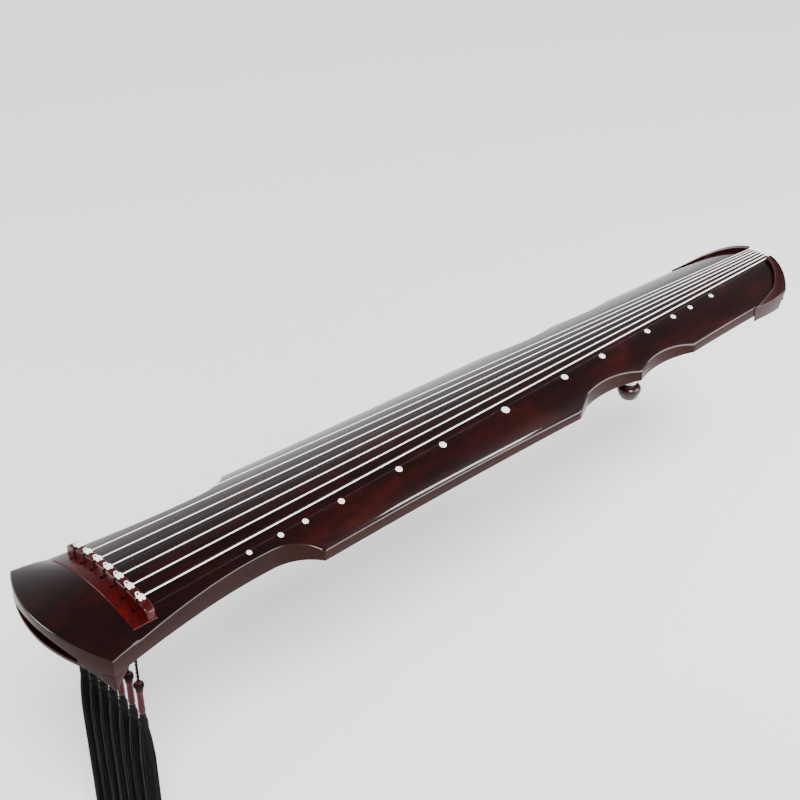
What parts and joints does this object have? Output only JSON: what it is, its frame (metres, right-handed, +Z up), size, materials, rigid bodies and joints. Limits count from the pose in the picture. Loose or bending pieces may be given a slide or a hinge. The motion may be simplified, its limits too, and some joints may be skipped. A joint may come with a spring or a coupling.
{
  "type": "seven-string guqin zither",
  "caption": "Long lacquered board zither with a crescent-waisted outline, bridge and nut, pearl position studs, strings wound on two underside feet, and hanging pegs with silk tassels.",
  "frame": {"origin": "mid-length of the body on its centre line, in the plane that the two goose feet stand on", "axes": "+X from the head to the tail along the centre line, +Z up out of the arched soundboard, -Y towards the pearl studs and string 1"},
  "size_m": [1.2447, 0.213, 0.4551],
  "materials": {
    "lacquer": "high-gloss black-brown lacquer with a red glow",
    "rosewood": "polished dark red rosewood",
    "inner_wood": "bare sawn softwood",
    "peg_wood": "waxed reddish hardwood",
    "pearl": "polished mother-of-pearl",
    "string": "white nylon winding",
    "black_silk": "twisted silk with a slight sheen"
  },
  "bodies": {
    "instrument": {"soundboard": "lacquer", "bottom_board": "lacquer", "peg_guard_near": "lacquer", "peg_guard_far": "lacquer", "pearl_studs": "pearl", "foot_block_near": "inner_wood", "foot_block_far": "inner_wood", "heaven_post": "inner_wood", "earth_post": "inner_wood", "inlay_plate": "rosewood", "bridge": "rosewood", "peg_plate": "rosewood", "tail_trim_near": "rosewood", "tail_trim_far": "rosewood", "tail_nut": "rosewood", "under_trim": "rosewood", "goose_foot_near": "rosewood", "goose_foot_far": "rosewood", "fly_head_knots": "string", "silk_loops": "black_silk", "string_1": "string", "peg_cord_1": "black_silk", "string_2": "string", "peg_cord_2": "black_silk", "string_3": "string", "peg_cord_3": "black_silk", "string_4": "string", "peg_cord_4": "black_silk", "string_5": "string", "peg_cord_5": "black_silk", "string_6": "string", "peg_cord_6": "black_silk", "string_7": "string", "peg_cord_7": "black_silk"},
    "peg_and_tassel_1": {"peg_1": "peg_wood", "tassel_1": "black_silk"},
    "peg_and_tassel_2": {"peg_2": "peg_wood", "tassel_2": "black_silk"},
    "peg_and_tassel_3": {"peg_3": "peg_wood", "tassel_3": "black_silk"},
    "peg_and_tassel_4": {"peg_4": "peg_wood", "tassel_4": "black_silk"},
    "peg_and_tassel_5": {"peg_5": "peg_wood", "tassel_5": "black_silk"},
    "peg_and_tassel_6": {"peg_6": "peg_wood", "tassel_6": "black_silk"},
    "peg_and_tassel_7": {"peg_7": "peg_wood", "tassel_7": "black_silk"}
  },
  "joints": [
    {"name": "peg_1_turn", "type": "hinge", "parent": "instrument", "child": "peg_and_tassel_1", "pos_m": [-0.545, -0.0627, -0.03], "axis": [0, 0, 1], "continuous": true},
    {"name": "peg_2_turn", "type": "hinge", "parent": "instrument", "child": "peg_and_tassel_2", "pos_m": [-0.545, -0.0418, -0.03], "axis": [0, 0, 1], "continuous": true},
    {"name": "peg_3_turn", "type": "hinge", "parent": "instrument", "child": "peg_and_tassel_3", "pos_m": [-0.545, -0.0209, -0.03], "axis": [0, 0, 1], "continuous": true},
    {"name": "peg_4_turn", "type": "hinge", "parent": "instrument", "child": "peg_and_tassel_4", "pos_m": [-0.545, 0, -0.03], "axis": [0, 0, 1], "continuous": true},
    {"name": "peg_5_turn", "type": "hinge", "parent": "instrument", "child": "peg_and_tassel_5", "pos_m": [-0.545, 0.0209, -0.03], "axis": [0, 0, 1], "continuous": true},
    {"name": "peg_6_turn", "type": "hinge", "parent": "instrument", "child": "peg_and_tassel_6", "pos_m": [-0.545, 0.0418, -0.03], "axis": [0, 0, 1], "continuous": true},
    {"name": "peg_7_turn", "type": "hinge", "parent": "instrument", "child": "peg_and_tassel_7", "pos_m": [-0.545, 0.0627, -0.03], "axis": [0, 0, 1], "continuous": true}
  ]
}
